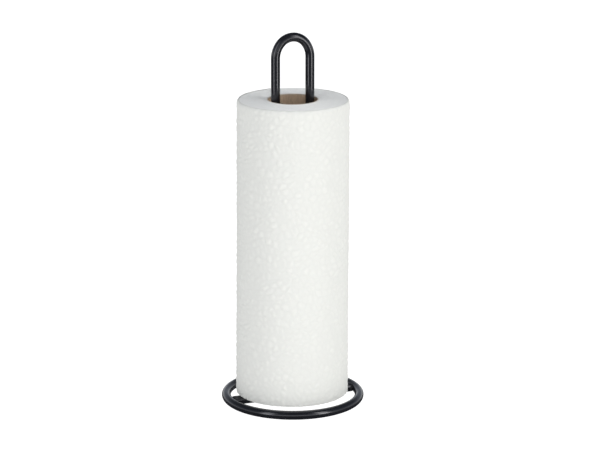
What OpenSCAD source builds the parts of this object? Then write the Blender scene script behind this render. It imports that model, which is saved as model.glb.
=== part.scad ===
// Paper towel holder: a stand of round steel bar, with a roll of kitchen towel on its post.
// Millimetres. +Z is up, the table is at z = 0 and the post's axis is the Z axis.
// The crossbar and the post's two legs lie in the XZ plane.

/* [Steel bar] */
// Diameter of the steel bar with its powder coat, for the ring, the crossbar and the post
bar_d = 8.2; // [6.8:0.1:9.9]

/* [Base] */
// Outside diameter of the base ring
ring_d = 131.4; // [109:0.1:158]
// Gap between the ring's inner face and each cut end of the crossbar, which the weld fills
crossbar_end_gap = 0.25; // [0.05:0.05:1]

/* [Post] */
// Height of the loop above the top of a full roll, for the fingers
handle_h = 60.8; // [35:0.1:80]
// Space on each side between the post and the inside of the roll's core
post_clearance = 2.1; // [1.5:0.1:4]
// How much higher the arch is than a half circle
crown_lift = 2.1; // [0.2:0.1:4]
// Gap under each cut foot of the post, which the weld fills
foot_gap = 0.05; // [0.05:0.05:0.5]

/* [Welds] */
// How far the weld metal stands out past the bar
weld_leg = 0.8; // [0.4:0.1:1.2]
// How far the welds on the ring stay below the top of the bar, and clear of the table
weld_relief = 0.3; // [0.2:0.1:0.6]
// Width of the gap between the ring's two ends, which its closing weld fills
ring_gap = 1.6; // [0.8:0.1:3]
// How far the closing weld runs over the bar on each side of that gap
ring_weld_lap = 1.5; // [0.5:0.1:3]
// How far the closing weld stands proud of the ring
ring_weld_proud = 0.3; // [0.2:0.1:0.6]
// Where the ring is closed, as an angle from the crossbar
ring_weld_angle = 70; // [30:1:150]

/* [Roll] */
// Outside diameter of the full roll
roll_d = 102.4; // [85:0.1:123]
// Height of the roll, which is the width of the paper
roll_h = 275.4; // [229:0.1:331]
// Gap between the crossbar and the underside of the roll
rest_gap = 0.3; // [0.2:0.05:0.6]

/* [Core] */
// Inside diameter of the cardboard core
core_id = 45.3; // [37:0.1:55]
// Thickness of each of the core's two plies
ply_t = 0.5; // [0.4:0.05:0.7]
// Running gap between the two plies
ply_gap = 0.05; // [0.03:0.01:0.08]

/* [Paper] */
// Thickness of the embossed paper
sheet_t = 0.5; // [0.4:0.05:0.7]
// Length of one sheet, from its perforation to the free edge
sheet_l = 279; // [140:1:340]
// Where the free edge of the last sheet lies, as an angle from the crossbar
tail_angle = 94; // [0:1:359]

/* [Hidden] */
$fn = 180;

// The post's legs are the left one, at -X, and the right one, at +X.
LEFT = -1;
RIGHT = 1;

// Bar and ring
bar_r = bar_d / 2;
ring_r = ring_d / 2 - bar_r;
ring_inner_r = ring_r - bar_r;
crossbar_l = 2 * (ring_inner_r - crossbar_end_gap);

// Ring's closing weld, as angles round the ring
ring_gap_a = ring_gap / ring_r * 180 / PI;
ring_lap_a = ring_weld_lap / ring_r * 180 / PI;

// Roll and core
roll_z = bar_d + rest_gap;
roll_r = roll_d / 2;
core_ir = core_id / 2;
outer_ply_ir = core_ir + ply_t + ply_gap;
core_or = outer_ply_ir + ply_t;

// Post: half the distance between the legs' centrelines, and the height of the whole stand
leg_x = core_ir - post_clearance - bar_r;
stand_h = roll_z + roll_h + handle_h;
foot_z = bar_d + foot_gap;

// Arch of three arcs. Each shoulder's centre is shoulder_shift past the axis, on the level
// where the legs end, and the crown's centre is on the axis. The arcs meet on a line through both
// centres that rises 3 in 4, so by the 3-4-5 triangle all of these stay round numbers.
RUN = 4;
RISE = 3;
SLANT = 5;
shoulder_shift = crown_lift / (1 + RISE / RUN - SLANT / RUN);
shoulder_r = leg_x + shoulder_shift;
crown_r = shoulder_r - shoulder_shift * SLANT / RUN;
spring_z = stand_h - bar_r - leg_x - crown_lift;
crown_z = spring_z + shoulder_shift * RISE / RUN;
// How many times that triangle is enlarged to reach past the arch.
reach = ceil((shoulder_r + bar_d) / RUN);

// Last sheet: the angle that it covers, and how many turns that takes
sheet_a = sheet_l / (2 * PI * roll_r) * 360;
sheet_turns = ceil(sheet_a / 360);
wound_r = roll_r - sheet_turns * sheet_t;

// A bar bent through the given angle, from the +X axis round Z, in the XY plane.
module bent_bar(bend_r, angle) {
    rotate_extrude(angle = angle)
        translate([bend_r, 0])
            circle(r = bar_r);
}

// An upright half ring of bar in the XZ plane, of which only the given outline's part is kept.
module arch_part(bend_r, outline) {
    rotate([90, 0, 0])
        intersection() {
            bent_bar(bend_r, 180);
            linear_extrude(height = 2 * bar_d, center = true)
                polygon(outline);
        }
}

// A plain tube that stands at the roll's level.
module roll_tube(inner_r, outer_r) {
    translate([0, 0, roll_z])
        rotate_extrude()
            translate([inner_r, 0])
                square([outer_r - inner_r, roll_h]);
}

// Ring of bar that lies on the table, bent round until its two ends nearly meet.
module base_ring() {
    color("#232427")
        translate([0, 0, bar_r])
            rotate([0, 0, ring_weld_angle + ring_gap_a / 2])
                bent_bar(ring_r, 360 - ring_gap_a);
}

// Butt weld that closes the ring: a low band round the bar, dressed flat where it would meet the
// table and where a wide roll would pass over it.
module base_ring_weld() {
    band_a = ring_gap_a + 2 * ring_lap_a;
    color("#1d1e20")
        difference() {
            translate([0, 0, bar_r])
                rotate([0, 0, ring_weld_angle - band_a / 2])
                    rotate_extrude(angle = band_a)
                        translate([ring_r, 0])
                            intersection() {
                                circle(r = bar_r + ring_weld_proud);
                                square([2 * bar_d, bar_d - 2 * weld_relief], center = true);
                            }
            base_ring();
        }
}

// Straight bar across the ring, at the ring's own level, which carries the post and the roll.
module crossbar() {
    color("#232427")
        translate([-crossbar_l / 2, 0, bar_r])
            rotate([0, 90, 0])
                cylinder(h = crossbar_l, r = bar_r);
}

// Fillet weld between the crossbar's end and the ring, kept below the top of the bar.
module crossbar_weld(side) {
    weld_r = bar_r + weld_leg;
    color("#1d1e20")
        difference() {
            intersection() {
                translate([side * ring_inner_r, 0, bar_r])
                    sphere(r = weld_r);
                translate([side * ring_inner_r - weld_r, -weld_r, weld_relief])
                    cube([2 * weld_r, 2 * weld_r, bar_d - 2 * weld_relief]);
            }
            crossbar();
            base_ring();
        }
}

module crossbar_weld_left() { crossbar_weld(LEFT); }
module crossbar_weld_right() { crossbar_weld(RIGHT); }

// One leg of the post, from its cut foot to where the arch springs.
module leg(side) {
    translate([side * leg_x, 0, foot_z])
        cylinder(h = spring_z - foot_z, r = bar_r);
}

// The arch's right shoulder, from the leg up to the line where the crown begins.
module shoulder() {
    translate([-shoulder_shift, 0, spring_z])
        arch_part(shoulder_r, reach * [[0, 0], [RUN, 0], [RUN, RISE]]);
}

// The arch's top, between the two lines where the shoulders end.
module crown() {
    translate([0, 0, crown_z])
        arch_part(crown_r, reach * [[0, 0], [RUN, RISE], [RUN, 2 * RUN], [-RUN, 2 * RUN], [-RUN, RISE]]);
}

// Hairpin of bar: two straight legs and an arch that serves as the carrying loop.
module post_loop() {
    color("#232427")
        union() {
            leg(LEFT);
            leg(RIGHT);
            shoulder();
            mirror([1, 0, 0])
                shoulder();
            crown();
        }
}

// Fillet weld round the foot of a leg, where it stands on the crossbar.
module post_weld(side) {
    color("#1d1e20")
        difference() {
            translate([side * leg_x, 0, bar_d - weld_relief])
                sphere(r = bar_r + weld_leg);
            crossbar();
            leg(side);
        }
}

module post_weld_left() { post_weld(LEFT); }
module post_weld_right() { post_weld(RIGHT); }

// Inner ply of the cardboard core, which slides over the post.
module core_inner_ply() {
    color("#8a7764")
        roll_tube(core_ir, core_ir + ply_t);
}

// Outer ply of the cardboard core, which the paper is wound on.
module core_outer_ply() {
    color("#94826e")
        roll_tube(outer_ply_ir, core_or);
}

// The wound web of paper, without its last sheet.
module wound_paper() {
    color("#efefea")
        roll_tube(core_or, wound_r);
}

// The last sheet, wrapped round the roll. Where it is longer than the roll's girth, the rest
// of it lies in a second turn under the first.
module outer_sheet() {
    color("#f2f2ee")
        translate([0, 0, roll_z])
            rotate([0, 0, tail_angle])
                for (turn = [0 : sheet_turns - 1])
                    rotate_extrude(angle = min(360, sheet_a - 360 * turn))
                        translate([roll_r - (turn + 1) * sheet_t, 0])
                            square([sheet_t, roll_h]);
}

base_ring();
base_ring_weld();
crossbar();
crossbar_weld_left();
crossbar_weld_right();
post_loop();
post_weld_left();
post_weld_right();
core_inner_ply();
core_outer_ply();
wound_paper();
outer_sheet();
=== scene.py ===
"""Looks of a paper towel holder: a stand of coated steel bar with a roll of kitchen towel on its post.

The stand's bars are the frame's own solids with a powder coat on them. The welds, the two plies of
the cardboard core, the wound web and its last sheet are surfaces worked out here on grids.
Lengths are in metres, +Z is up, and angles run round Z from +X, the direction of the crossbar.
"""

import logging
import math
from dataclasses import dataclass, field
from enum import Enum

import bpy
import numpy as np
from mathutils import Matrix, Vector


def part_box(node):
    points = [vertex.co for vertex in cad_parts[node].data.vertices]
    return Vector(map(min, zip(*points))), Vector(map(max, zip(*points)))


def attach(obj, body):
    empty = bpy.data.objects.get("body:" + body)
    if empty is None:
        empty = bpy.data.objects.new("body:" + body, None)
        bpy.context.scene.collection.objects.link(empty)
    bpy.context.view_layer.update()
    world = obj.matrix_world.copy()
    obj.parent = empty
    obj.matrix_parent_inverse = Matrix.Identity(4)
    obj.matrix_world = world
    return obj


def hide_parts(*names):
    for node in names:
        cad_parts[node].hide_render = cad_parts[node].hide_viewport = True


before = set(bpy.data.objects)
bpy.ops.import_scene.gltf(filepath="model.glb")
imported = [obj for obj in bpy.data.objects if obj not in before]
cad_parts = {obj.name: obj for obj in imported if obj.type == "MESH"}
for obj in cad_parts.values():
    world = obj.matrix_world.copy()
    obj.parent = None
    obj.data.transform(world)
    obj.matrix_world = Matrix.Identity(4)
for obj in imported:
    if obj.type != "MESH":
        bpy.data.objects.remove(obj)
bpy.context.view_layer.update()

LOG = logging.getLogger("towel_holder")
MM = 0.001
TURN = 2 * math.pi
Triple = tuple[float, float, float]


# ---------------------------------------------------------------------------
# Meshes from grids
# ---------------------------------------------------------------------------


def quads(index: np.ndarray, close_rows: bool = False, close_columns: bool = False) -> np.ndarray:
    """Lists the four-cornered faces of a grid of vertices.

    A face's corners are (row, column), (row, next), (next, next) and (next, column), so its normal
    is the direction of the columns crossed with the direction of the rows.

    Args:
        index: The vertex numbers, as rows by columns.
        close_rows: Whether the last row joins the first.
        close_columns: Whether the last column joins the first.

    Returns:
        The faces, as n by 4 vertex numbers.
    """
    if close_rows:
        index = np.vstack([index, index[:1]])
    if close_columns:
        index = np.hstack([index, index[:, :1]])
    corners = (index[:-1, :-1], index[:-1, 1:], index[1:, 1:], index[1:, :-1])
    return np.stack([c.ravel() for c in corners], axis=1)


def make_piece(
    name: str,
    points: np.ndarray,
    faces: list[np.ndarray],
    marks: dict[str, np.ndarray] | None = None,
    sharp_deg: float = 60,
) -> bpy.types.Object:
    """Makes a smooth-shaded mesh object at the origin.

    Args:
        name: The piece's name.
        points: The vertices, as n by 3.
        faces: Arrays of faces, each with one number of corners.
        marks: Values between 0 and 1 at the vertices, which materials read as attributes.
        sharp_deg: Edges that turn by more than this angle stay sharp.

    Returns:
        The new object, linked to the scene.
    """
    mesh = bpy.data.meshes.new(name)
    sizes = np.concatenate([np.full(len(f), f.shape[1], np.int32) for f in faces])
    corners = np.concatenate([f.ravel() for f in faces]).astype(np.int32)
    mesh.vertices.add(len(points))
    mesh.vertices.foreach_set("co", points.astype(np.float32).ravel())
    mesh.loops.add(len(corners))
    mesh.loops.foreach_set("vertex_index", corners)
    mesh.polygons.add(len(sizes))
    mesh.polygons.foreach_set("loop_start", np.cumsum(sizes, dtype=np.int32) - sizes)
    mesh.polygons.foreach_set("use_smooth", np.ones(len(sizes), bool))
    for mark, values in (marks or {}).items():
        layer = mesh.attributes.new(mark, "FLOAT", "POINT")
        layer.data.foreach_set("value", values.astype(np.float32).ravel())
    mesh.update(calc_edges=True)
    mesh.validate()
    mesh.set_sharp_from_angle(angle=math.radians(sharp_deg))
    piece = bpy.data.objects.new(name, mesh)
    bpy.context.scene.collection.objects.link(piece)
    return piece


def around(radius: np.ndarray, angle: np.ndarray, height: np.ndarray) -> np.ndarray:
    """Turns radius, angle and height into points.

    A point's x and y are its radius times the cosine and the sine of its angle.

    Args:
        radius: The distances from the axis.
        angle: The angles round the axis.
        height: The heights. The three shapes broadcast to one grid.

    Returns:
        The points, with a last dimension of 3.
    """
    grids = np.broadcast_arrays(radius * np.cos(angle), radius * np.sin(angle), height)
    return np.stack(grids, axis=-1)


def smooth_step(low: float, high: float, value: np.ndarray) -> np.ndarray:
    """Rises from 0 to 1 along the curve 3t^2 - 2t^3, where t is how far a value is from low to high.

    Args:
        low: The value where the curve is 0.
        high: The value where it is 1, which may be the smaller of the two.
        value: Where the curve is read.

    Returns:
        Values between 0 and 1.
    """
    t = np.clip((value - low) / (high - low), 0, 1)
    return t * t * (3 - 2 * t)


def ripple(across: np.ndarray, up: np.ndarray, waves: list[Triple]) -> np.ndarray:
    """Adds up slow sine waves over a surface.

    Each wave is the sine of (across times its first number, plus up times its second, plus its
    third), and the sum is divided by the number of waves.

    Args:
        across: The first coordinate, in radians.
        up: The second coordinate, in radians.
        waves: The cycles across, the cycles up and the phase of each wave.

    Returns:
        Values between -1 and 1.
    """
    return sum(np.sin(a * across + b * up + c) for a, b, c in waves) / len(waves)


# ---------------------------------------------------------------------------
# Finishes
# ---------------------------------------------------------------------------


class Shader:
    """A node material in the making."""

    def __init__(self, name: str) -> None:
        """Starts a material with a principled shader.

        Args:
            name: The material's name.
        """
        self.material = bpy.data.materials.new(name)
        self.material.use_nodes = True
        self.nodes = self.material.node_tree.nodes
        self.links = self.material.node_tree.links
        self.nodes.clear()
        output = self.node("OutputMaterial")
        self.surface = self.node("BsdfPrincipled")
        self.links.new(self.surface.outputs["BSDF"], output.inputs["Surface"])

    def node(self, kind: str, **values: object) -> bpy.types.Node:
        """Adds a node and sets its own properties.

        Args:
            kind: The node's type, without the ShaderNode prefix.
            **values: Properties of the node.

        Returns:
            The node.
        """
        made = self.nodes.new("ShaderNode" + kind)
        for key, value in values.items():
            setattr(made, key, value)
        return made

    def wire(self, value: object, socket: bpy.types.NodeSocket) -> None:
        """Links an output to a socket, or sets the socket to a constant.

        Args:
            value: Another node's output, or a number or colour.
            socket: The socket that takes it.
        """
        if isinstance(value, bpy.types.NodeSocket):
            self.links.new(value, socket)
        elif isinstance(value, tuple) and len(value) == 3 and socket.type == "RGBA":
            socket.default_value = (*value, 1.0)
        else:
            socket.default_value = value

    def place(self, stretch: Triple) -> bpy.types.NodeSocket:
        """Gives the object's own coordinates, stretched.

        Args:
            stretch: What each coordinate is multiplied by.

        Returns:
            The vector output.
        """
        source = self.node("TexCoord")
        mapping = self.node("Mapping")
        self.wire(source.outputs["Object"], mapping.inputs["Vector"])
        mapping.inputs["Scale"].default_value = stretch
        return mapping.outputs["Vector"]

    def noise(
        self,
        scale: float,
        detail: float = 2.0,
        roughness: float = 0.5,
        stretch: Triple = (1.0, 1.0, 1.0),
    ) -> bpy.types.NodeSocket:
        """Adds a noise on the object's coordinates.

        Args:
            scale: Cycles a metre.
            detail: Octaves of finer noise.
            roughness: How strong the finer noise is.
            stretch: What each coordinate is multiplied by first.

        Returns:
            The noise's value, about 0.5.
        """
        made = self.node("TexNoise")
        self.wire(self.place(stretch), made.inputs["Vector"])
        made.inputs["Scale"].default_value = scale
        made.inputs["Detail"].default_value = detail
        made.inputs["Roughness"].default_value = roughness
        return made.outputs["Fac"]

    def mark(self, name: str) -> bpy.types.NodeSocket:
        """Reads one of the piece's own marks."""
        return self.node("Attribute", attribute_name=name).outputs["Fac"]

    def span(
        self, value: bpy.types.NodeSocket, low: float, high: float, to_low: float, to_high: float
    ) -> bpy.types.NodeSocket:
        """Maps one range of values evenly onto another, and holds its ends outside it.

        Args:
            value: The value to map.
            low: The value that becomes to_low.
            high: The value that becomes to_high.
            to_low: The result at and below low.
            to_high: The result at and above high.

        Returns:
            The mapped value.
        """
        made = self.node("MapRange", clamp=True)
        sockets = ("Value", "From Min", "From Max", "To Min", "To Max")
        for key, entry in zip(sockets, (value, low, high, to_low, to_high)):
            self.wire(entry, made.inputs[key])
        return made.outputs["Result"]

    def maths(self, operation: str, a: object, b: object) -> bpy.types.NodeSocket:
        """Combines two values by an arithmetic operation.

        Args:
            operation: The operation's name, such as ADD.
            a: The first output or number.
            b: The second output or number.

        Returns:
            The result.
        """
        made = self.node("Math", operation=operation)
        self.wire(a, made.inputs[0])
        self.wire(b, made.inputs[1])
        return made.outputs["Value"]

    def mix(self, share: object, a: object, b: object) -> bpy.types.NodeSocket:
        """Mixes two colours.

        Args:
            share: How much of the second colour there is, from 0 to 1.
            a: The first output or colour.
            b: The second output or colour.

        Returns:
            The mixed colour.
        """
        made = self.node("Mix", data_type="RGBA")
        self.wire(share, made.inputs["Factor"])
        self.wire(a, made.inputs["A"])
        self.wire(b, made.inputs["B"])
        return made.outputs["Result"]

    def bump(self, layers: list[tuple[bpy.types.NodeSocket, float, float]]) -> None:
        """Lays bumps on each other and feeds them to the surface.

        Args:
            layers: The height, the strength and the depth in metres of each, the finest last.
        """
        normal = None
        for height, strength, distance in layers:
            made = self.node("Bump")
            made.inputs["Strength"].default_value = strength
            made.inputs["Distance"].default_value = distance
            self.wire(height, made.inputs["Height"])
            if normal is not None:
                self.wire(normal, made.inputs["Normal"])
            normal = made.outputs["Normal"]
        self.wire(normal, self.surface.inputs["Normal"])

    def set(self, **values: object) -> None:
        """Sets or links the surface's own sockets.

        Args:
            **values: What each socket takes. Its name is written with underscores for spaces.
        """
        for key, value in values.items():
            self.wire(value, self.surface.inputs[key.replace("_", " ")])


@dataclass(frozen=True)
class PowderCoat:
    """Satin black powder coat baked on steel.

    Each scale is in cycles a metre. The coat is rubbed where its streaks times its patches pass
    rub_start, and rubbed most from rub_full on.
    """

    name: str = "powder_coat"
    dark: Triple = (0.0048, 0.0052, 0.0068)
    pale: Triple = (0.0082, 0.0088, 0.0112)
    worn: Triple = (0.0200, 0.0208, 0.0240)
    sheen: Triple = (0.96, 0.95, 1.00)
    specular: float = 0.64
    roughness_low: float = 0.18
    roughness_high: float = 0.20
    peel: float = 0.02
    peel_scale: float = 520
    grain: float = 0.03
    grain_scale: float = 3200
    cloud_scale: float = 38
    streak_scale: float = 420
    streak_stretch: Triple = (1.0, 1.0, 0.06)
    patch_scale: float = 22
    rub_start: float = 0.34
    rub_full: float = 0.44
    rub_share: float = 0.25
    rub_dulling: float = 0.03

    def material(self) -> bpy.types.Material:
        """Builds the coat: orange peel, fine grain, cloudy gloss and faint rubs along the bar.

        Returns:
            The material.
        """
        s = Shader(self.name)
        cloud = s.noise(self.cloud_scale, 3)
        streaks = s.noise(self.streak_scale, 3, 0.6, self.streak_stretch)
        rubs = s.maths("MULTIPLY", streaks, s.noise(self.patch_scale, 2))
        rubbed = s.span(rubs, self.rub_start, self.rub_full, 0.0, self.rub_share)
        tone = s.mix(s.span(cloud, 0.35, 0.65, 0.0, 1.0), self.dark, self.pale)
        gloss = s.span(cloud, 0.30, 0.70, self.roughness_low, self.roughness_high)
        s.set(
            Base_Color=s.mix(rubbed, tone, self.worn),
            Roughness=s.maths("ADD", gloss, s.span(rubbed, 0.0, 1.0, 0.0, self.rub_dulling)),
            Specular_IOR_Level=self.specular,
            Specular_Tint=self.sheen,
            IOR=1.5,
        )
        s.bump([
            (s.noise(self.peel_scale, 2), self.peel, 0.25 * MM),
            (s.noise(self.grain_scale, 3), self.grain, 0.05 * MM),
        ])
        return s.material


@dataclass(frozen=True)
class TowelPaper:
    """Soft embossed kitchen paper. Each scale is in cycles a metre."""

    name: str = "towel_paper"
    crest: Triple = (0.685, 0.685, 0.650)
    # The valley colour is painted shade in the emboss's hollows.
    valley_shade: Triple = (0.638, 0.639, 0.609)
    cloud: Triple = (0.66, 0.66, 0.63)
    cloud_share: float = 0.10
    pulp_scale: float = 160
    crepe_scale: float = 1500
    crepe_stretch: Triple = (1.0, 1.0, 0.35)
    fibre_scale: float = 5200

    def material(self) -> bpy.types.Material:
        """Builds the paper: paler crests and valleys darkened with painted shade, creped fibres and a
        cloudy pulp.

        Returns:
            The material.
        """
        s = Shader(self.name)
        pulp = s.noise(self.pulp_scale, 4, 0.6)
        crepe = s.noise(self.crepe_scale, 3, 0.6, self.crepe_stretch)
        # Painted shade: the emboss's valleys are mixed towards the darker valley colour.
        tone = s.mix(s.mark("crest"), self.valley_shade, self.crest)
        cloudy = s.mix(s.span(pulp, 0.30, 0.70, 0.0, self.cloud_share), tone, self.cloud)
        s.set(
            Base_Color=cloudy,
            Roughness=s.span(pulp, 0.3, 0.7, 0.88, 0.98),
            Specular_IOR_Level=0.22,
            Sheen_Weight=0.08,
            Sheen_Roughness=0.6,
        )
        s.bump([(crepe, 0.20, 0.12 * MM), (s.noise(self.fibre_scale, 2), 0.12, 0.05 * MM)])
        return s.material


@dataclass(frozen=True)
class WoundEdge:
    """The cut edges of the wound paper, layer on layer. Each scale is in cycles a metre."""

    name: str = "wound_edge"
    edge: Triple = (0.850, 0.850, 0.830)
    # The gap colour is painted shade between the layers.
    gap: Triple = (0.620, 0.620, 0.605)
    fluff_scale: float = 900
    fibre_scale: float = 4200

    def material(self) -> bpy.types.Material:
        """Builds the edges: pale cut paper with painted shade in the gaps between layers, and fluff on
        the saw cut.

        Returns:
            The material.
        """
        s = Shader(self.name)
        fluff = s.noise(self.fluff_scale, 4, 0.65)
        # Painted shade: the gaps between layers are mixed towards the darker gap colour.
        depth = s.maths("MULTIPLY", s.mark("gap"), s.span(fluff, 0.3, 0.7, 0.75, 1.0))
        s.set(
            Base_Color=s.mix(depth, self.edge, self.gap),
            Roughness=s.span(fluff, 0.3, 0.7, 0.90, 1.0),
            Specular_IOR_Level=0.2,
            Sheen_Weight=0.1,
            Sheen_Roughness=0.6,
        )
        s.bump([(fluff, 0.35, 0.20 * MM), (s.noise(self.fibre_scale, 2), 0.15, 0.06 * MM)])
        return s.material


@dataclass(frozen=True)
class CoreBoard:
    """Grey-brown board of a wound core. Each scale is in cycles a metre."""

    name: str = "core_board"
    light: Triple = (0.720, 0.535, 0.375)
    dark: Triple = (0.540, 0.400, 0.275)
    seam: Triple = (0.130, 0.096, 0.070)
    fluff: Triple = (0.660, 0.625, 0.570)
    fibre_scale: float = 700
    fibre_stretch: Triple = (1.0, 1.0, 0.22)
    speck_scale: float = 2400
    fuzz_scale: float = 3600

    def material(self) -> bpy.types.Material:
        """Builds the board: long fibres, recycled specks, a dark line down the seam, pale rims.

        Returns:
            The material.
        """
        s = Shader(self.name)
        fibres = s.noise(self.fibre_scale, 5, 0.7, self.fibre_stretch)
        specks = s.span(s.noise(self.speck_scale, 2), 0.64, 0.72, 0.0, 0.55)
        board = s.mix(s.span(fibres, 0.32, 0.68, 0.0, 1.0), self.dark, self.light)
        wall = s.mix(s.mark("seam"), s.mix(specks, board, self.seam), self.seam)
        s.set(
            Base_Color=s.mix(s.mark("rim"), wall, self.fluff),
            Roughness=s.span(fibres, 0.3, 0.7, 0.80, 0.92),
            Specular_IOR_Level=0.3,
        )
        s.bump([(fibres, 0.25, 0.10 * MM), (s.noise(self.fuzz_scale, 2), 0.15, 0.04 * MM)])
        return s.material


@dataclass(frozen=True)
class StudioFloor:
    """Plain white sweep."""

    name: str = "studio_floor"
    colour: Triple = (0.12, 0.12, 0.12)
    glow: float = 1.08

    def material(self) -> bpy.types.Material:
        """Builds a matt white that is lit a little from within, as a lit sweep is.

        Returns:
            The material.
        """
        s = Shader(self.name)
        s.set(
            Base_Color=self.colour,
            Roughness=0.9,
            Specular_IOR_Level=0.1,
            Emission_Color=(1.0, 1.0, 1.0),
            Emission_Strength=self.glow,
        )
        return s.material


# ---------------------------------------------------------------------------
# The stand
# ---------------------------------------------------------------------------


class ArcAxis(Enum):
    """The axis that a welding arc went round, by its number."""

    ALONG_CROSSBAR = 0
    UPRIGHT = 2


@dataclass
class Stand:
    """The welded frame: ring, crossbar and post, with the beads that join them.

    The closing weld of the ring is a band, which stands proud at its sides. A bead's mean surface
    lies one bead_skin inside its reach, which leaves room for its ripples, and crescent is how
    much a ripple bends, in radians of its phase. A foot's bead is foot_reach wider than the bar
    all round, and lies foot_drop below the foot. end_bead is half the length of a bead at the
    crossbar's end, and how much wider and higher than the bar it is; it lies end_inset further in.
    """

    coat: PowderCoat = field(default_factory=PowderCoat)
    weld_coat: PowderCoat = PowderCoat("weld_coat", roughness_low=0.34, roughness_high=0.48, peel=0.3)
    ring_weld_angle: float = math.radians(70)
    band_half_length: float = 2.3 * MM
    band_height: float = 0.3 * MM
    bead_pitch: float = 1.25 * MM
    ripple_height: float = 0.13 * MM
    bead_skin: float = 0.15 * MM
    crescent: float = 1.6
    foot_reach: float = 0.95 * MM
    foot_drop: float = 0.3 * MM
    end_bead: Triple = (3.4 * MM, 1.1 * MM, -0.2 * MM)
    end_inset: float = 0.1 * MM

    def __post_init__(self) -> None:
        """Takes the bars' sizes from the frame."""
        ring_low, ring_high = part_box("base_ring")
        post_low, post_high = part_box("post_loop")
        self.bar_r = (ring_high.z - ring_low.z) / 2
        self.ring_r = (ring_high.x - ring_low.x) / 2 - self.bar_r
        self.leg_x = post_high.x - self.bar_r
        self.foot_z = post_low.z

    def dress_bars(self) -> None:
        """Puts the coat on the ring, the crossbar and the post."""
        coat = self.coat.material()
        for node in ("base_ring", "crossbar", "post_loop"):
            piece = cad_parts[node]
            piece.data.materials.clear()
            piece.data.materials.append(coat)
            LOG.info("coated %s", node)

    def bead(self, name: str, centre: Triple, reach: Triple, arc: ArcAxis) -> bpy.types.Object:
        """Makes a lump of weld metal with the crescent ripples of a moving arc.

        The lump is an ellipsoid on latitude and longitude about one axis. Its radius swells by the
        ripple height times the square root of the rectified sine of the longitude's ripple count,
        whose phase lags with the square of the latitude, which bends each ripple to a crescent.

        Args:
            name: The piece's name, after the node that it replaces.
            centre: The lump's centre.
            reach: Half its size along X, Y and Z.
            arc: The axis that the arc went round.

        Returns:
            The bead.
        """
        rows, columns = 47, 192
        latitude = np.linspace(-math.pi / 2, math.pi / 2, rows + 2)[1:-1, None]
        longitude = np.linspace(0, TURN, columns + 1)[None, :-1]
        axis = arc.value
        first_side, second_side = (axis + 1) % 3, (axis + 2) % 3
        girth = TURN * (reach[first_side] + reach[second_side]) / 2
        count = round(girth / self.bead_pitch)
        phase = longitude * count / 2 + self.crescent * latitude**2
        swell = np.sqrt(np.abs(np.sin(phase))) - 0.5
        uneven = ripple(longitude, latitude, [(2, 1, 0.4), (3, -2, 1.7), (5, 2, 2.9)])
        growth = (swell * self.ripple_height + uneven * self.bead_skin) * np.cos(latitude)
        unit = np.zeros((rows, columns, 3))
        unit[..., first_side] = np.cos(latitude) * np.cos(longitude)
        unit[..., second_side] = np.cos(latitude) * np.sin(longitude)
        unit[..., axis] = np.sin(latitude)
        mean_reach = np.array(reach) - self.bead_skin
        points = np.array(centre) + unit * (mean_reach + growth[..., None])
        caps = np.zeros((2, 3)) + np.array(centre)
        caps[:, axis] += (-mean_reach[axis], mean_reach[axis])
        index = np.arange(rows * columns).reshape(rows, columns)
        first, last = index[0], index[-1]
        fans = [
            np.stack([np.full_like(first, index.size), np.roll(first, -1), first], axis=1),
            np.stack([np.full_like(last, index.size + 1), last, np.roll(last, -1)], axis=1),
        ]
        points = np.vstack([points.reshape(-1, 3), caps])
        return make_piece(name, points, [quads(index, close_columns=True), *fans])

    def closing_band(self) -> bpy.types.Object:
        """Makes the dressed butt weld that closes the ring.

        The band is a short tube round the ring's centreline. Its radius is the bar's plus a dome
        along the ring, with ripples across it, and the dome fades to nothing above and below,
        where the weld was dressed flush.

        Returns:
            The band.
        """
        skin, tuck, off_table = 0.04 * MM, 0.12 * MM, 0.02 * MM
        along = np.linspace(-1, 1, 41)[:, None]
        turn = np.linspace(0, TURN, 97)[None, :-1]
        dome = np.sqrt(np.clip(1 - along**2, 0, 1))
        side = smooth_step(0.25, 0.75, np.abs(np.cos(turn)))
        phase = along * self.band_half_length / self.bead_pitch * math.pi + 0.8 * np.cos(turn) ** 2
        rippled = 0.75 + 0.25 * np.abs(np.sin(phase))
        lift = dome * (self.band_height * side * rippled + skin) - tuck * (1 - dome)
        tube = self.bar_r + lift
        angle = self.ring_weld_angle + along * self.band_half_length / self.ring_r
        points = around(self.ring_r + tube * np.cos(turn), angle, self.bar_r + tube * np.sin(turn))
        points[..., 2] = np.clip(points[..., 2], off_table, None)
        index = np.arange(points.shape[0] * points.shape[1]).reshape(points.shape[:2])
        ends = [index[:1, :], index[-1:, ::-1]]
        faces = [quads(index, close_columns=True)[:, ::-1], *ends]
        return make_piece("ring_closing_weld", points.reshape(-1, 3), faces)

    def build_welds(self) -> None:
        """Makes the five welds, which stand for the plain solids of the frame."""
        coat = self.weld_coat.material()
        foot_z = self.foot_z - self.foot_drop
        foot_reach = (self.bar_r + self.foot_reach,) * 3
        end_x = self.ring_r - self.bar_r - self.end_inset
        length, wider, higher = self.end_bead
        end_reach = (length, self.bar_r + wider, self.bar_r + higher)
        made = [(self.closing_band(), "base_ring_weld")]
        for side, word in ((-1, "left"), (1, "right")):
            foot_place, end_place = (side * self.leg_x, 0.0, foot_z), (side * end_x, 0.0, self.bar_r)
            foot = self.bead(f"foot_bead_{word}", foot_place, foot_reach, ArcAxis.UPRIGHT)
            made.append((foot, f"post_weld_{word}"))
            end = self.bead(f"crossbar_bead_{word}", end_place, end_reach, ArcAxis.ALONG_CROSSBAR)
            made.append((end, f"crossbar_weld_{word}"))
        for piece, node in made:
            piece.data.materials.append(coat)
            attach(piece, "stand")
            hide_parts(node)
            LOG.info("welded %s: %d faces", piece.name, len(piece.data.polygons))

    def build(self) -> None:
        """Builds and dresses the whole stand."""
        self.dress_bars()
        self.build_welds()


# ---------------------------------------------------------------------------
# The roll
# ---------------------------------------------------------------------------


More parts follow.
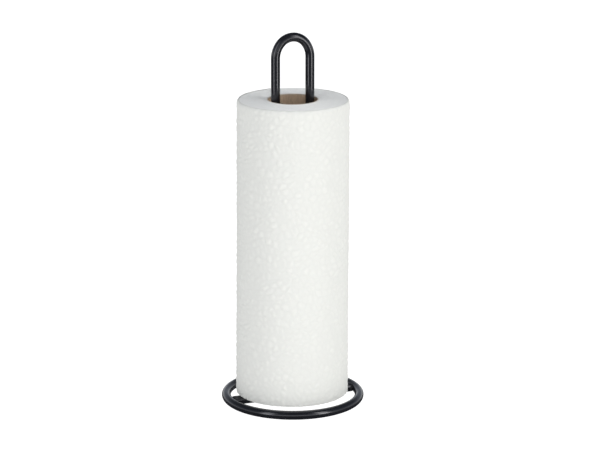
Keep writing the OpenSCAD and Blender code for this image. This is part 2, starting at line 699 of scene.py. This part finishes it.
@dataclass
class Emboss:
    """The puffed pattern that is pressed into the paper.

    Large puffs stand one cell apart, and fine ones, which are a share of the height, one fine_cell
    apart. The jitter, the bend of the slow waves, a puff's soft edge and the rise from one
    staggered row to the next are in cells. The pattern repeats after a table of cells.
    """

    cell: float = 6.4 * MM
    height: float = 0.82 * MM
    jitter: float = 0.44
    fine_cell: float = 3.1 * MM
    fine_share: float = 0.28
    bend: float = 0.35
    edge: float = 0.6
    row_rise: float = 0.866
    table: int = 64
    seed: int = 11

    def __post_init__(self) -> None:
        """Draws where each puff's middle lies and how high it stands."""
        draw = np.random.default_rng(self.seed)
        self.shift = draw.uniform(-self.jitter, self.jitter, (self.table, self.table, 2))
        self.puff = draw.uniform(0.35, 1.0, (self.table, self.table))

    def lattice(self, across: np.ndarray, up: np.ndarray) -> np.ndarray:
        """Covers the sheet with puffs round a staggered lattice of middles, each moved a little.

        A point's height rises smoothly with the difference between its distances to the second
        nearest middle and to the nearest, so puffs stand between narrow valleys, and it is scaled
        by the nearest middle's own puff.

        Args:
            across: The coordinate along the web, in cells.
            up: The coordinate up the web, in cells.

        Returns:
            The heights between 0 and 1, in the same shape.
        """
        row = up / self.row_rise
        base_row = np.floor(row).astype(int)
        nearest, second = np.full(across.shape, np.inf), np.full(across.shape, np.inf)
        puff = np.zeros(across.shape)
        for step_row in (-1, 0, 1, 2):
            r = base_row + step_row
            column = across - 0.5 * (r % 2)
            base_column = np.floor(column).astype(int)
            for step_column in (-1, 0, 1, 2):
                c = base_column + step_column
                shift = self.shift[r % self.table, c % self.table]
                rise = (row - r - shift[..., 1]) * self.row_rise
                gap = np.hypot(column - c - shift[..., 0], rise)
                closer = gap < nearest
                second = np.where(closer, nearest, np.minimum(second, gap))
                puff = np.where(closer, self.puff[r % self.table, c % self.table], puff)
                nearest = np.where(closer, gap, nearest)
        return smooth_step(0.0, self.edge, second - nearest) * puff

    def puffed(self, along: np.ndarray, up: np.ndarray) -> np.ndarray:
        """Gives how high the paper is puffed.

        The large puffs are one lattice, and the fine ones a second that is turned by about 30
        degrees. Slow waves bend the first, so that its rows don't show.

        Args:
            along: The distance along the web.
            up: The distance up the web.

        Returns:
            The heights between 0 and 1, in the same shape.
        """
        a, b = along / self.cell, up / self.cell
        bent_a = a + self.bend * np.sin(0.7 * b + 0.5 * a)
        bent_b = b + self.bend * np.sin(0.6 * a - 0.5 * b + 1.0)
        c, d = along / self.fine_cell, up / self.fine_cell
        large = self.lattice(bent_a, bent_b)
        fine = self.lattice(0.86 * c + 0.5 * d, 0.86 * d - 0.5 * c)
        return large * (1 - self.fine_share) + fine * self.fine_share


class EndFace(Enum):
    """An end face of the roll, by the way that it looks."""

    TOP = 1.0
    BOTTOM = -1.0


@dataclass
class Roll:
    """The roll of kitchen towel: the two plies of its core, the wound web and the last sheet.

    The free edge lies at tail_angle, and stands off by tail_lift, which fades over tail_reach. The
    perforated edge is notched between its bonds. Each soft rim has a height and draws in by an
    inset. The web stands past the frame's radius by its fullness at the bottom, and loses the
    taper to the top. The lean moves the roll's top towards lean_angle and its bottom away from it.
    The core's rims have an ease, which softens them, and a fray; its seam climbs by its pitch.
    """

    paper: TowelPaper = field(default_factory=TowelPaper)
    edge: WoundEdge = field(default_factory=WoundEdge)
    board: CoreBoard = field(default_factory=CoreBoard)
    emboss: Emboss = field(default_factory=Emboss)
    tail_angle: float = math.radians(94)
    sheet_length: float = 279 * MM
    sheet_thickness: float = 0.45 * MM
    sheet_tuck: float = 0.25 * MM
    layer_pitch: float = 0.45 * MM
    top_rim: tuple[float, float] = (3.0 * MM, 1.3 * MM)
    bottom_rim: tuple[float, float] = (1.2 * MM, 0.25 * MM)
    fullness: float = 0.20 * MM
    taper: float = 0.55 * MM
    lean: float = 0.55 * MM
    lean_angle: float = math.radians(-20)
    unevenness: float = 0.16 * MM
    tail_lift: float = 0.9 * MM
    tail_reach: float = 16 * MM
    bond_pitch: float = 6 * MM
    notch: float = 0.45 * MM
    ply: float = 0.5 * MM
    ply_ease: float = 0.12 * MM
    fray: float = 0.10 * MM
    seam_pitch: float = 78 * MM
    seam_depth: float = 0.12 * MM
    inner_seam: float = 0.9
    outer_seam: float = 2.6

    def __post_init__(self) -> None:
        """Takes the roll's sizes from the frame."""
        low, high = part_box("outer_sheet")
        self.bottom, self.top = low.z, high.z
        self.outer_r = -low.x
        self.core_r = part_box("core_outer_ply")[1].x
        self.inner_ply_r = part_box("core_inner_ply")[1].x
        self.sheet_turn = self.sheet_length / self.outer_r

    def wander(self, angle: np.ndarray, height: np.ndarray) -> np.ndarray:
        """Gives how far the roll's side strays from a true cylinder.

        It is a sum of sine waves round the roll and up it, plus a lean: the cosine of the angle
        from the lean's direction, which grows evenly from minus the lean at the bottom to the
        lean at the top.

        Args:
            angle: The angle round the axis.
            height: The height above the table.

        Returns:
            The distance to add to the radius.
        """
        up = (height - self.bottom) / (self.top - self.bottom)
        waves = [(2, -5.0, 1.9), (3, 8.2, 4.0), (5, -10.7, 2.2)]
        uneven = self.unevenness * ripple(angle, up, waves)
        return uneven + self.lean * (2 * up - 1) * np.cos(angle - self.lean_angle)

    def rim(self, height: np.ndarray) -> np.ndarray:
        """Gives how far the roll's side draws in near its two rims.

        At each it is the rim's inset times the power 2.3 of how far a point is into the rim, as a
        share of the rim's height.

        Args:
            height: The height above the table.

        Returns:
            The distance to take from the radius.
        """
        power = 2.3
        top_height, top_inset = self.top_rim
        low_height, low_inset = self.bottom_rim
        above = np.clip(1 - (self.top - height) / top_height, 0, 1)
        below = np.clip(1 - (height - self.bottom) / low_height, 0, 1)
        return top_inset * above**power + low_inset * below**power

    def side_radius(self, back: np.ndarray, height: np.ndarray) -> np.ndarray:
        """Gives the radius of the web's outer side.

        The web is a spiral: the radius falls by one pitch for each turn back from the free edge,
        and by the taper from the bottom to the top. The rims draw it in, and the roll's
        unevenness moves it.

        Args:
            back: The angle back along the web from its free edge.
            height: The height above the table.

        Returns:
            The radius.
        """
        angle = self.tail_angle + back
        up = (height - self.bottom) / (self.top - self.bottom)
        spiral = self.outer_r + self.fullness - self.taper * up - self.layer_pitch * back / TURN
        return spiral - self.rim(height) + self.wander(angle, height)

    def crests(self, back: np.ndarray, height: np.ndarray) -> np.ndarray:
        """Gives the emboss's height between 0 and 1 at an angle back along the web."""
        return self.emboss.puffed(back * self.outer_r, height)

    def last_sheet(self) -> bpy.types.Object:
        """Makes the last sheet as a closed shell.

        Its outer side is a fine grid of the web's side radius plus the emboss. Its inner side is
        every fifth row and column of that grid, one thickness further in and without the emboss,
        and each rim face joins five edges of the one to one edge of the other. Near the free edge
        the sheet stands off by the tail's lift, with a slow wave up the edge, times the square of
        how far a point is into the tail's reach. The perforated edge falls back between its bonds.

        Returns:
            The sheet.
        """
        stride, rows, columns = 5, 290, 295
        height = np.linspace(self.bottom, self.top - self.sheet_tuck, rows + 1)[:, None]
        share = np.linspace(0, 1, columns + 1)[None, :]
        back = share * self.sheet_turn + 0 * height
        height = height + 0 * back
        bond = smooth_step(0.25, 0.45, np.abs(((height - self.bottom) / self.bond_pitch) % 1 - 0.5))
        notched = (1 - bond) * self.notch / self.outer_r
        back = back - notched * smooth_step(0.992, 1.0, share)
        curl = np.clip(1 - back * self.outer_r / self.tail_reach, 0, 1) ** 2
        wave = 0.75 + 0.25 * np.sin(height * 41 + 0.7)
        crest = self.crests(back, height)
        side = self.side_radius(back, height) + self.tail_lift * curl * wave
        angle = self.tail_angle + back
        outer = around(side + self.emboss.height * crest, angle, height)
        inner = around(side - self.sheet_thickness, angle, height)[::stride, ::stride]
        fine = np.arange(outer.shape[0] * outer.shape[1]).reshape(outer.shape[:2])
        coarse = fine.size + np.arange(inner.shape[0] * inner.shape[1]).reshape(inner.shape[:2])
        faces = [quads(fine), quads(coarse)[:, ::-1]]
        edges = (
            (fine[0], coarse[0], True),
            (fine[-1], coarse[-1], False),
            (fine[:, 0], coarse[:, 0], False),
            (fine[:, -1], coarse[:, -1], True),
        )
        for long, short, flip in edges:
            steps = np.arange(len(short) - 1)[:, None]
            fan = long[steps * stride + np.arange(stride + 1)]
            rim = np.hstack([fan, short[steps + 1], short[steps]])
            faces.append(rim[:, ::-1] if flip else rim)
        # The inner side takes mostly the valley colour, the paper's painted shade.
        inner_crest = 0.3
        crests = np.concatenate([crest.ravel(), np.full(coarse.size, inner_crest)])
        points = np.vstack([outer.reshape(-1, 3), inner.reshape(-1, 3)])
        return make_piece("last_sheet", points, faces, {"crest": crests})

    def wound_angles(self) -> np.ndarray:
        """Gives the angles at which the web's sections are taken.

        They are 2.4 degrees apart under the last sheet and 1 degree apart where the web shows,
        with two close together at the perforation, where the radius steps up by one thickness.

        Returns:
            The angles back from the free edge.
        """
        step = math.radians(0.04)
        hidden = np.linspace(0, self.sheet_turn - step, 130)
        shown = np.linspace(self.sheet_turn + step, TURN, 49)[:-1]
        return np.concatenate([hidden, shown])

    def wound_web(self) -> bpy.types.Object:
        """Makes the wound web as a closed profile carried round the axis.

        The profile runs out along the top face, down the side, in along the bottom face and up
        the bore. On the two faces each layer is a low ridge: the height falls with the fourth
        power of the cosine of the layers' phase. The phase changes by half a turn for each pitch
        in radius and by a turn for each turn round the axis, so the ridges are a spiral.

        Returns:
            The web.
        """
        slack, face_edge = 0.10 * MM, 0.12 * MM
        back = self.wound_angles()[None, :]
        shown = back > self.sheet_turn
        under = np.where(shown, 0.0, self.sheet_thickness + slack)
        out = np.linspace(0, 1, 181)[:, None]
        top_r, top_z, top_gap = self.end_face(out, back, under, EndFace.TOP)
        side_z = np.linspace(self.top - face_edge, self.bottom + face_edge, 277)[1:-1, None]
        crest = self.crests(back + 0 * side_z, side_z + 0 * back) * shown
        side_r = self.side_radius(back, side_z) - under + self.emboss.height * crest
        low_r, low_z, low_gap = self.end_face(out[::-3], back, under, EndFace.BOTTOM)
        bore_z = np.array([[0.3], [0.7]]) * (self.top - self.bottom) + self.bottom
        bore_r = self.core_r + 0 * bore_z + 0 * back
        radius = np.vstack([top_r, side_r, low_r, bore_r])
        height = np.vstack([top_z, side_z + 0 * back, low_z, bore_z + 0 * back])
        points = around(radius, self.tail_angle + back, height)
        index = np.arange(radius.size).reshape(radius.shape)
        # The paper finish darkens a low crest mark, and the edge finish a gap mark, with painted shade.
        marks = {
            "crest": np.vstack([0 * top_r, crest, 0 * low_r, 0 * bore_r]),
            "gap": np.vstack([top_gap, 0 * side_r, low_gap, 0 * bore_r]),
        }
        faces = quads(index, close_rows=True, close_columns=True)[:, ::-1]
        piece = make_piece("wound_web", points.reshape(-1, 3), [faces], marks)
        paper_slot, edge_slot = 0, 1
        finish = np.full(radius.shape, edge_slot, np.int32)
        finish[len(top_r):len(top_r) + len(side_r)] = paper_slot
        piece.data.polygons.foreach_set("material_index", finish.ravel())
        return piece

    def end_face(
        self, share: np.ndarray, back: np.ndarray, under: np.ndarray, face: EndFace
    ) -> tuple[np.ndarray, np.ndarray, np.ndarray]:
        """Gives one end face of the wound web.

        It falls from the roll's end by the gaps between its layers, by a little that differs from
        layer to layer, by a sag towards the rim and the core, and by slow waves.

        Args:
            share: How far out each row is, from 0 at the core to 1 at the rim.
            back: The angle of each column back from the free edge.
            under: How much further in the web's side is at each column.
            face: Which end it is.

        Returns:
            The radius, the height and the gap mark at each row and column, which the edge finish
            darkens with painted shade.
        """
        gap_depth, layer_depth, wave_depth = 0.14 * MM, 0.10 * MM, 0.12 * MM
        rim_sag, core_sag = 0.22 * MM, 0.16 * MM
        level = self.top if face is EndFace.TOP else self.bottom
        rim_r = self.side_radius(back, level + 0 * back) - under
        radius = self.core_r + (rim_r - self.core_r) * share
        phase = (self.outer_r - radius) / self.layer_pitch / 2 - back / TURN
        gap = np.cos(phase * TURN) ** 4
        layer = np.floor(phase * 2)
        uneven = np.sin(layer * 2.39) * np.sin(layer * 0.71 + 1.3)
        sag = rim_sag * smooth_step(0.86, 1.0, share) + core_sag * smooth_step(0.12, 0.0, share)
        waves = ripple(self.tail_angle + back, share * 5, [(1, 1, 0), (2, -1, 2), (3, 2, 1)])
        fall = gap_depth * gap + layer_depth * (1 + uneven) + sag + wave_depth * (1 + waves)
        return radius, level - face.value * fall, gap

    def core_ply(self, name: str, outer_r: float, turn: float) -> bpy.types.Object:
        """Makes one ply of the core as a closed profile carried round the axis.

        The profile runs up the inside, over a softened rim, down the outside and round the lower
        rim. The inside dips by the seam's depth along the butt seam of the wound strip, a helix
        that climbs by its pitch each turn.

        Args:
            name: The piece's name.
            outer_r: The ply's outer radius.
            turn: The angle where the seam starts.

        Returns:
            The ply.
        """
        angle = np.linspace(0, TURN, 181)[None, :-1]
        inner_r, ease = outer_r - self.ply, self.ply_ease
        inside_z = np.linspace(self.bottom + ease, self.top - ease, 240)[:, None]
        climb = (inside_z - self.bottom) / self.seam_pitch - (angle + turn) / TURN
        off_seam = np.abs((climb + 0.5) % 1 - 0.5) * self.seam_pitch
        seam = 1 - smooth_step(0.3 * MM, 1.0 * MM, off_seam)
        waves = [(3, 0, 0.2), (7, 0, 1.1), (13, 0, 2.5), (29, 0, 0.9)]
        frayed = self.fray * (1 + ripple(angle, 0 * angle, waves))
        inside_r = inner_r + self.seam_depth * seam
        rim_r = np.array([inner_r + ease, outer_r - ease, outer_r])[:, None] + 0 * angle
        top_z = np.vstack([self.top - frayed, self.top - frayed, self.top - ease - frayed])
        low_z = np.vstack([self.bottom + ease + frayed, self.bottom + frayed, self.bottom + frayed])
        radius = np.vstack([inside_r, rim_r, rim_r[::-1]])
        height = np.vstack([inside_z + 0 * angle, top_z, low_z])
        inside = np.concatenate([np.zeros(len(inside_z) - 1), [1.0]])[:, None] + 0 * angle
        marks = {
            "seam": np.vstack([seam, 0 * rim_r, 0 * rim_r]),
            "rim": np.vstack([inside, 0 * rim_r + 1, 0 * rim_r + 1]),
        }
        index = np.arange(radius.size).reshape(radius.shape)
        faces = quads(index, close_rows=True, close_columns=True)[:, ::-1]
        points = around(radius, angle, height)
        return make_piece(name, points.reshape(-1, 3), [faces], marks)

    def build(self) -> None:
        """Builds and dresses the whole roll."""
        paper, edge, board = self.paper.material(), self.edge.material(), self.board.material()
        inner = self.core_ply("core_inner_board", self.inner_ply_r, self.inner_seam)
        outer = self.core_ply("core_outer_board", self.core_r, self.outer_seam)
        web, sheet = self.wound_web(), self.last_sheet()
        rows = (
            (inner, "roll_core", "core_inner_ply", "core_board", [board]),
            (outer, "towel_roll", "core_outer_ply", "core_board", [board]),
            (web, "towel_roll", "wound_paper", "wound_towel", [paper, edge]),
            (sheet, "towel_roll", "outer_sheet", "towel_sheet", [paper]),
        )
        for piece, body, node, slot, finishes in rows:
            for finish in finishes:
                piece.data.materials.append(finish)
            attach(piece, body)
            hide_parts(node)
            LOG.info("rolled %s: %d faces", piece.name, len(piece.data.polygons))


# ---------------------------------------------------------------------------
# The studio
# ---------------------------------------------------------------------------


@dataclass(frozen=True)
class Softbox:
    """A rectangular light that looks at the holder.

    Its bearing from the holder is in degrees to the right, as the camera sees it, and its power in
    watts. It stands upright, or is tilted to look at the roll's middle, and where it isn't
    mirrored, it doesn't show in glossy surfaces.
    """

    name: str
    bearing: float
    distance: float
    centre_height: float
    width: float
    height: float
    power: float
    colour: Triple = (1.0, 1.0, 1.0)
    tilted: bool = False
    mirrored: bool = True


@dataclass
class Studio:
    """The camera, the lights and the floor.

    The camera's bearing runs round Z from -Y, and its lens and sensor are in millimetres. Tilted
    softboxes look at aim_height on the roll's axis. The room's even light is a list of stops, each
    a height, from 0 straight below to 1 straight above, and a colour.
    """

    bearing: float = math.radians(-20)
    camera_distance: float = 2434 * MM
    camera_height: float = 820.6 * MM
    pitch: float = math.radians(15.05)
    lens: float = 165.7
    sensor: float = 36
    shift: float = 0.0121
    clip: tuple[float, float] = (0.05, 50)
    aim_height: float = 0.17
    floor_reach: float = 9.0
    floor: StudioFloor = field(default_factory=StudioFloor)
    room: tuple[tuple[float, Triple], ...] = (
        (0.30, (0.05, 0.05, 0.06)),
        (0.462, (0.14, 0.145, 0.16)),
        (0.484, (1.0, 1.0, 1.0)),
        (0.54, (1.0, 1.0, 1.0)),
        (0.59, (0.46, 0.51, 0.60)),
        (0.75, (0.09, 0.10, 0.12)),
    )
    boxes: tuple[Softbox, ...] = (
        Softbox("key_box", 50, 1.20, 0.78, 0.38, 1.46, 6.7, (1.0, 0.995, 0.975)),
        Softbox("key_strip", 50, 0.90, 0.08, 0.26, 0.16, 0.55, (1.0, 0.995, 0.975)),
        Softbox("fill_box", -42, 1.20, 0.75, 0.38, 1.45, 4.2, (0.98, 0.99, 1.0)),
        Softbox("fill_strip", -40, 0.95, 0.08, 0.28, 0.16, 0.36, (0.98, 0.99, 1.0)),
        Softbox("low_card", 6, 0.32, 0.05, 0.50, 0.08, 0.09),
        Softbox("back_wall", 180, 2.50, 1.05, 5.0, 1.9, 3.2, (0.96, 0.98, 1.0)),
        Softbox("top_box", 30, 0.80, 3.50, 4.0, 4.0, 80.0, (0.99, 0.997, 1.0), True, False),
    )

    def seat(self, bearing: float, distance: float, height: float) -> Vector:
        """Gives a place round the holder.

        Args:
            bearing: How far to the right of the camera's own bearing it is, in degrees.
            distance: The distance from the roll's axis.
            height: The height above the table.

        Returns:
            The place.
        """
        turn = self.bearing + math.radians(bearing)
        return Vector((math.sin(turn) * distance, -math.cos(turn) * distance, height))

    def build_camera(self) -> None:
        """Makes the camera, level with its own horizon and pitched down at the holder."""
        data = bpy.data.cameras.new("camera")
        data.lens = self.lens
        data.sensor_width = self.sensor
        data.shift_x = self.shift
        data.clip_start, data.clip_end = self.clip
        camera = bpy.data.objects.new("camera", data)
        camera.location = self.seat(0, self.camera_distance, self.camera_height)
        camera.rotation_euler = (math.pi / 2 - self.pitch, 0, self.bearing)
        bpy.context.scene.collection.objects.link(camera)
        bpy.context.scene.camera = camera

    def build_boxes(self) -> None:
        """Makes the softboxes, which the camera doesn't see."""
        for box in self.boxes:
            data = bpy.data.lights.new(box.name, "AREA")
            data.shape = "RECTANGLE"
            data.size, data.size_y = box.width, box.height
            data.energy = box.power
            data.color = box.colour
            light = bpy.data.objects.new(box.name, data)
            light.location = self.seat(box.bearing, box.distance, box.centre_height)
            aim = Vector((0, 0, self.aim_height)) - light.location
            if not box.tilted:
                aim.z = 0.0
            light.rotation_euler = aim.to_track_quat("-Z", "Y").to_euler()
            light.visible_camera = False
            light.visible_glossy = box.mirrored
            bpy.context.scene.collection.objects.link(light)

    def build_room(self) -> None:
        """Makes the even light of the room: a ramp of colours from straight below to straight above."""
        world = bpy.data.worlds.new("room")
        world.use_nodes = True
        nodes, links = world.node_tree.nodes, world.node_tree.links
        ramp = nodes.new("ShaderNodeValToRGB")
        stops = ramp.color_ramp.elements
        stops.remove(stops[1])
        stops[0].position, stops[0].color = self.room[0][0], (*self.room[0][1], 1.0)
        for height, colour in self.room[1:]:
            stops.new(height).color = (*colour, 1.0)
        split = nodes.new("ShaderNodeSeparateXYZ")
        rise = nodes.new("ShaderNodeMapRange")
        rise.inputs["From Min"].default_value = -1.0
        links.new(nodes.new("ShaderNodeTexCoord").outputs["Generated"], split.inputs["Vector"])
        links.new(split.outputs["Z"], rise.inputs["Value"])
        links.new(rise.outputs["Result"], ramp.inputs["Fac"])
        links.new(ramp.outputs["Color"], nodes["Background"].inputs["Color"])
        bpy.context.scene.world = world

    def build_floor(self) -> None:
        """Makes the wide floor that the ring stands on."""
        square = np.array([[-1, -1, 0], [1, -1, 0], [1, 1, 0], [-1, 1, 0]])
        corners = square * self.floor_reach
        floor = make_piece("studio_floor", corners, [np.array([[0, 1, 2, 3]])])
        floor.data.materials.append(self.floor.material())
        floor.visible_glossy = False

    def build(self) -> None:
        """Builds the whole studio, with plain colours."""
        bpy.context.scene.view_settings.view_transform = "Standard"
        self.build_camera()
        self.build_boxes()
        self.build_room()
        self.build_floor()
        LOG.info("studio: %d softboxes", len(self.boxes))


def main() -> None:
    """Builds the studio, the stand and the roll in turn."""
    logging.basicConfig(level=logging.INFO, format="%(name)s: %(message)s")
    Studio().build()
    Stand().build()
    Roll().build()


if __name__ == "__main__":
    main()
